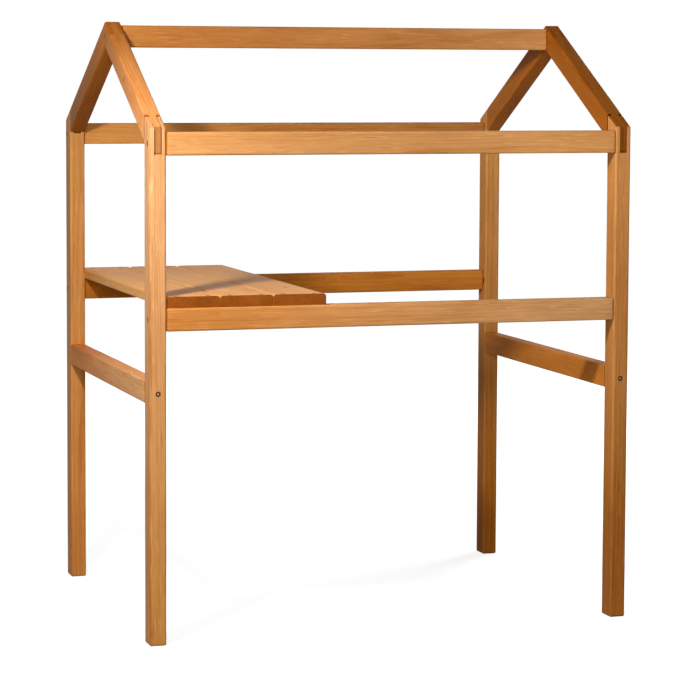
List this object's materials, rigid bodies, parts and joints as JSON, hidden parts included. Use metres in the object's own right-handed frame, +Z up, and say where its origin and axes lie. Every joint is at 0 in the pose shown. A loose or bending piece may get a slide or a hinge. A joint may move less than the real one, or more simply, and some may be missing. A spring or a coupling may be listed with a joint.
{
  "type": "plant shelf",
  "caption": "Open house-shaped timber plant shelf: a pitched frame on tall legs with rails, a ridge beam and slatted boards laid over one end.",
  "frame": {"origin": "on the floor, at the middle of the four feet", "axes": "+X along the ridge to the end without boards, +Y from the front to the back, +Z up"},
  "size_m": [1, 0.78, 1.2124],
  "materials": {
    "frame_timber": "stained and oiled",
    "board_timber": "stained and oiled",
    "screws": "plated"
  },
  "bodies": {
    "root": {"post_front_left": "frame_timber", "post_front_right": "frame_timber", "post_back_left": "frame_timber", "post_back_right": "frame_timber", "rafter_front_left": "frame_timber", "rafter_front_right": "frame_timber", "rafter_back_left": "frame_timber", "rafter_back_right": "frame_timber", "ridge_beam": "frame_timber", "eave_rail_front": "frame_timber", "eave_rail_back": "frame_timber", "shelf_rail_front": "frame_timber", "shelf_rail_back": "frame_timber", "cross_rail_left": "frame_timber", "cross_rail_right": "frame_timber", "shelf_board_1": "board_timber", "shelf_board_2": "board_timber", "shelf_board_3": "board_timber", "eave_rail_screws": "screws", "shelf_rail_screws": "screws", "ridge_screws": "screws", "cross_rail_screws": "screws", "shelf_board_screws": "screws"}
  },
  "joints": []
}
